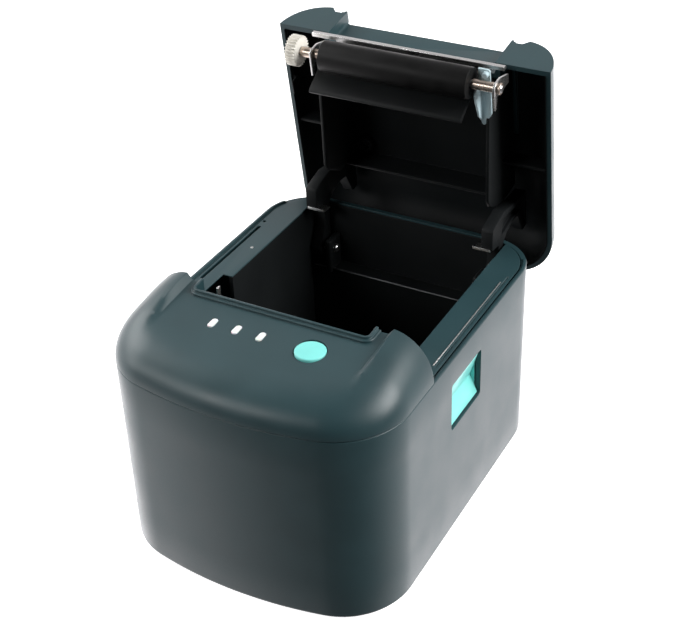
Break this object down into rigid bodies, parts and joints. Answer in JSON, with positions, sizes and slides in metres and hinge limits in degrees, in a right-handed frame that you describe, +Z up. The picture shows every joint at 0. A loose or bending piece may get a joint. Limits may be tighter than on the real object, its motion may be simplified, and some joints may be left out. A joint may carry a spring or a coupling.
{
  "type": "receipt printer",
  "caption": "Countertop thermal receipt printer with a domed clamshell lid standing open, a paper well, a platen roller unit in the lid and a control panel in front.",
  "frame": {"origin": "on the counter, under the middle of the housing; the base plate's flat underside lies 1 mm above it", "axes": "+Z up, +Y to the rear, where the lid hinges, +X to the printer's right-hand side as seen from the front"},
  "size_m": [0.14, 0.2182, 0.1947],
  "materials": {
    "case_plastic": "dark blue-grey moulded plastic, fine spark texture",
    "inner_plastic": "near-black moulded plastic",
    "mint_plastic": "mint, satin",
    "foot_rubber": "matt",
    "roller_rubber": "ground rubber, satin",
    "dark_steel": "blackened steel",
    "bright_steel": "brushed",
    "bronze": "sintered bronze",
    "white_plastic": "natural acetal",
    "pale_plastic": "pale blue acetal",
    "led_plastic": "translucent white",
    "circuit_board": "solder mask",
    "head_ceramic": "glazed"
  },
  "bodies": {
    "housing": {"lower_housing": "case_plastic", "base_plate": "inner_plastic", "rubber_foot_1": "foot_rubber", "rubber_foot_2": "foot_rubber", "rubber_foot_3": "foot_rubber", "rubber_foot_4": "foot_rubber", "base_screw_1": "dark_steel", "base_screw_2": "dark_steel", "base_screw_3": "dark_steel", "base_screw_4": "dark_steel", "front_cover": "case_plastic", "led_lens_1": "led_plastic", "led_lens_2": "led_plastic", "led_lens_3": "led_plastic", "panel_board": "circuit_board", "main_board": "circuit_board", "paper_well": "inner_plastic", "near_end_sensor": "inner_plastic", "paper_sensor": "inner_plastic", "power_socket": "inner_plastic", "usb_socket": "inner_plastic", "network_socket": "inner_plastic", "drawer_socket": "inner_plastic", "switch_frame": "inner_plastic", "mech_frame": "bright_steel", "head_spring_left": "bright_steel", "head_spring_right": "bright_steel", "hinge_pin_left": "bright_steel", "hinge_pin_right": "bright_steel", "feed_motor": "dark_steel", "cutter_frame": "dark_steel", "cutter_motor": "dark_steel", "latch_spring": "bright_steel"},
    "feed_key": {"feed_button": "mint_plastic"},
    "rocker": {"power_switch": "inner_plastic"},
    "head": {"head_plate": "bright_steel", "print_head": "head_ceramic"},
    "pinion": {"motor_pinion": "white_plastic"},
    "idler": {"idler_gear": "white_plastic"},
    "cutter": {"cutter_blade": "bright_steel"},
    "latch": {"latch_shaft": "bright_steel", "latch_hook_left": "dark_steel", "latch_hook_right": "dark_steel"},
    "release": {"release_button": "mint_plastic"},
    "lid": {"lid_shell": "case_plastic", "lid_frame": "inner_plastic", "tear_bar": "bright_steel", "platen_plate_left": "bright_steel", "platen_plate_right": "bright_steel", "bush_left": "bronze", "bush_right": "bronze", "platen_lever": "pale_plastic", "paper_guide": "inner_plastic", "hinge_arm_left": "inner_plastic", "hinge_arm_right": "inner_plastic", "lid_screw_left": "dark_steel", "lid_screw_right": "dark_steel"},
    "platen": {"platen_shaft": "bright_steel", "platen_roller": "roller_rubber", "platen_gear": "white_plastic"}
  },
  "joints": [
    {"name": "lid_hinge", "type": "hinge", "parent": "housing", "child": "lid", "pos_m": [0, 0.0824, 0.0759], "axis": [1, 0, 0], "range_deg": [0, 81.1]},
    {"name": "platen_spin", "type": "hinge", "parent": "lid", "child": "platen", "pos_m": [0, 0.0732, 0.18701], "axis": [1, 0, 0], "continuous": true},
    {"name": "feed_press", "type": "slide", "parent": "housing", "child": "feed_key", "axis": [0, 0, -1], "range_m": [0, 0.0008], "stiffness_N_per_m": 800, "springref_m": -0.0005},
    {"name": "switch_rock", "type": "hinge", "parent": "housing", "child": "rocker", "pos_m": [-0.0375, 0.0865, 0.018], "axis": [1, 0, 0], "range_deg": [0, 15]},
    {"name": "head_pivot", "type": "hinge", "parent": "housing", "child": "head", "pos_m": [0, -0.0397, 0.072], "axis": [1, 0, 0], "range_deg": [0, 2], "stiffness_Nm_per_rad": 1, "springref_deg": -2.86},
    {"name": "idler_spin", "type": "hinge", "parent": "housing", "child": "idler", "pos_m": [-0.052, -0.0416, 0.0686], "axis": [1, 0, 0], "continuous": true},
    {"name": "pinion_spin", "type": "hinge", "parent": "housing", "child": "pinion", "pos_m": [-0.052, -0.05563, 0.05806], "axis": [1, 0, 0], "continuous": true},
    {"name": "cutter_slide", "type": "slide", "parent": "housing", "child": "cutter", "axis": [0, 1, 0], "range_m": [0, 0.0075]},
    {"name": "latch_turn", "type": "hinge", "parent": "housing", "child": "latch", "pos_m": [0, -0.034, 0.047], "axis": [1, 0, 0], "range_deg": [0, 8], "stiffness_Nm_per_rad": 0.6, "springref_deg": -5.73},
    {"name": "release_press", "type": "slide", "parent": "housing", "child": "release", "axis": [-1, 0, 0], "range_m": [0, 0.0031]}
  ],
  "couplings": [
    {"joint": "pinion_spin", "follows": "idler_spin", "ratio": -2},
    {"joint": "release_press", "follows": "latch_turn", "m_per_rad": 0.0214}
  ]
}
